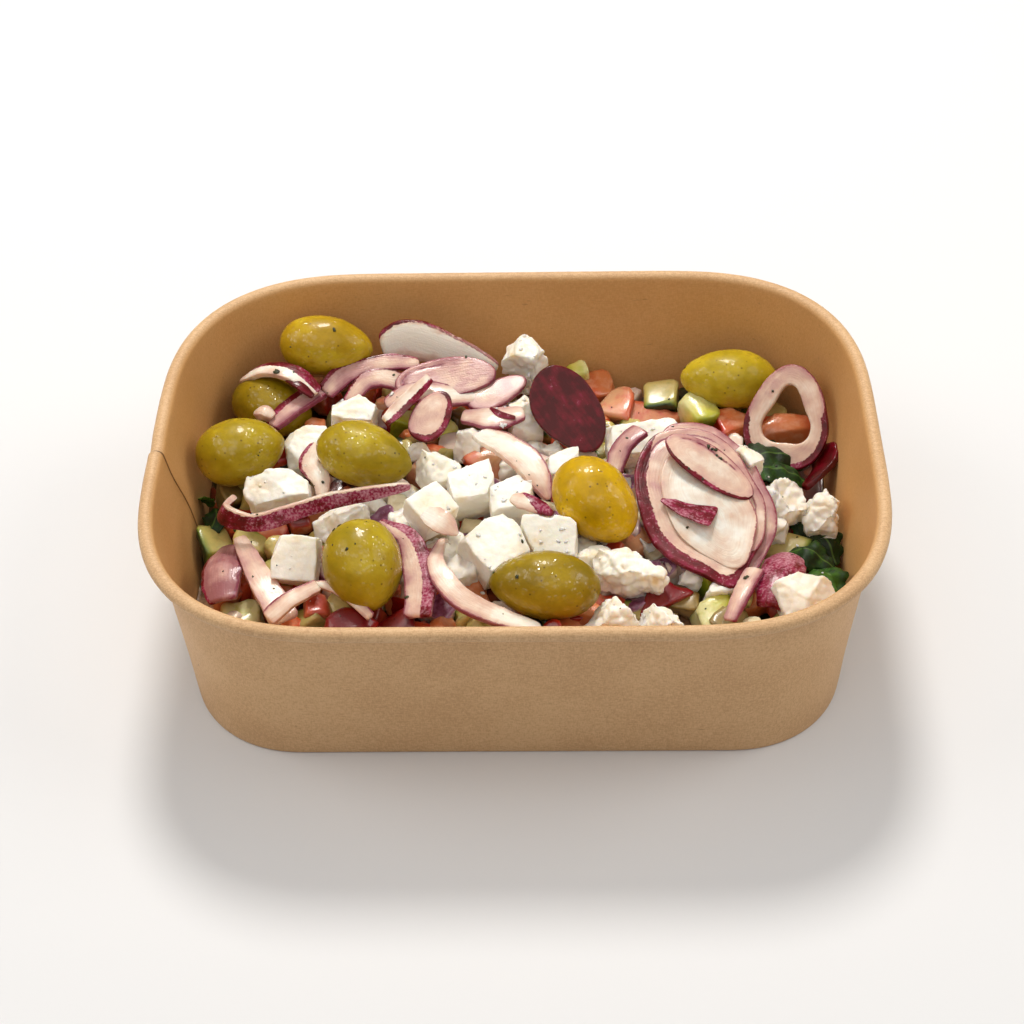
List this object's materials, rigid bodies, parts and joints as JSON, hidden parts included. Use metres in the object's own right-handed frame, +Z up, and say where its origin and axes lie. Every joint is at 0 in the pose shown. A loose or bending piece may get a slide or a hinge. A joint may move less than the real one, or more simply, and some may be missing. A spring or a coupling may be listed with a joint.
{
  "type": "greek salad in a paper bowl",
  "caption": "Greek salad of green olives, feta, red onion slices and chopped tomato, cucumber and herbs, in a deep rectangular kraft paper bowl with rounded corners and a rolled rim.",
  "frame": {"origin": "middle of the bowl's underside, on the surface it stands on", "axes": "+X along the bowl's length, +Y towards its back long side, +Z up"},
  "size_m": [0.1718, 0.1258, 0.0506],
  "materials": {
    "kraft_paper": "matte brown kraft board",
    "olive_skin": "oily yellow-green olive skin",
    "feta": "damp crumbly white cheese",
    "onion_flesh": "wet translucent onion with purple edges",
    "red_onion_skin": "wet dark red onion skin",
    "chopped_vegetables": "wet chopped tomato, cucumber and herbs"
  },
  "bodies": {
    "root": {"bowl": "kraft_paper", "feta_01": "feta", "feta_02": "feta", "feta_03": "feta", "feta_04": "feta", "feta_05": "feta", "feta_06": "feta", "feta_07": "feta", "feta_08": "feta", "feta_09": "feta", "feta_10": "feta", "feta_11": "feta", "feta_12": "feta", "feta_13": "feta", "feta_14": "feta", "feta_15": "feta", "feta_16": "feta", "feta_17": "feta", "feta_18": "feta", "feta_19": "feta", "feta_20": "feta", "feta_21": "feta", "feta_22": "feta", "feta_23": "feta", "olive_back_left": "olive_skin", "olive_back_right": "olive_skin", "olive_front": "olive_skin", "olive_front_left": "olive_skin", "olive_left": "olive_skin", "olive_mid_left": "olive_skin", "olive_under_onion": "olive_skin", "olive_yellow": "olive_skin", "onion_arch": "onion_flesh", "onion_back_inner": "onion_flesh", "onion_back_outer": "onion_flesh", "onion_big_slice": "onion_flesh", "onion_dark_chunk": "red_onion_skin", "onion_dark_petal": "red_onion_skin", "onion_diagonal": "onion_flesh", "onion_half_moon": "onion_flesh", "onion_leaning": "onion_flesh", "onion_left_petal": "onion_flesh", "onion_lilac_arc": "onion_flesh", "onion_long_strip": "onion_flesh", "onion_pale_oval": "onion_flesh", "onion_pink_petal": "onion_flesh", "onion_purple_crescent": "onion_flesh", "onion_purple_petal": "onion_flesh", "onion_red_petal": "red_onion_skin", "onion_ring": "onion_flesh", "onion_small_oval": "onion_flesh", "onion_stick": "onion_flesh", "onion_thick_strip": "onion_flesh", "onion_top_oval": "onion_flesh", "onion_wedge_on_olive": "onion_flesh", "onion_white_crescent": "onion_flesh", "onion_white_petal": "onion_flesh", "salad_heap": "chopped_vegetables"}
  },
  "joints": []
}
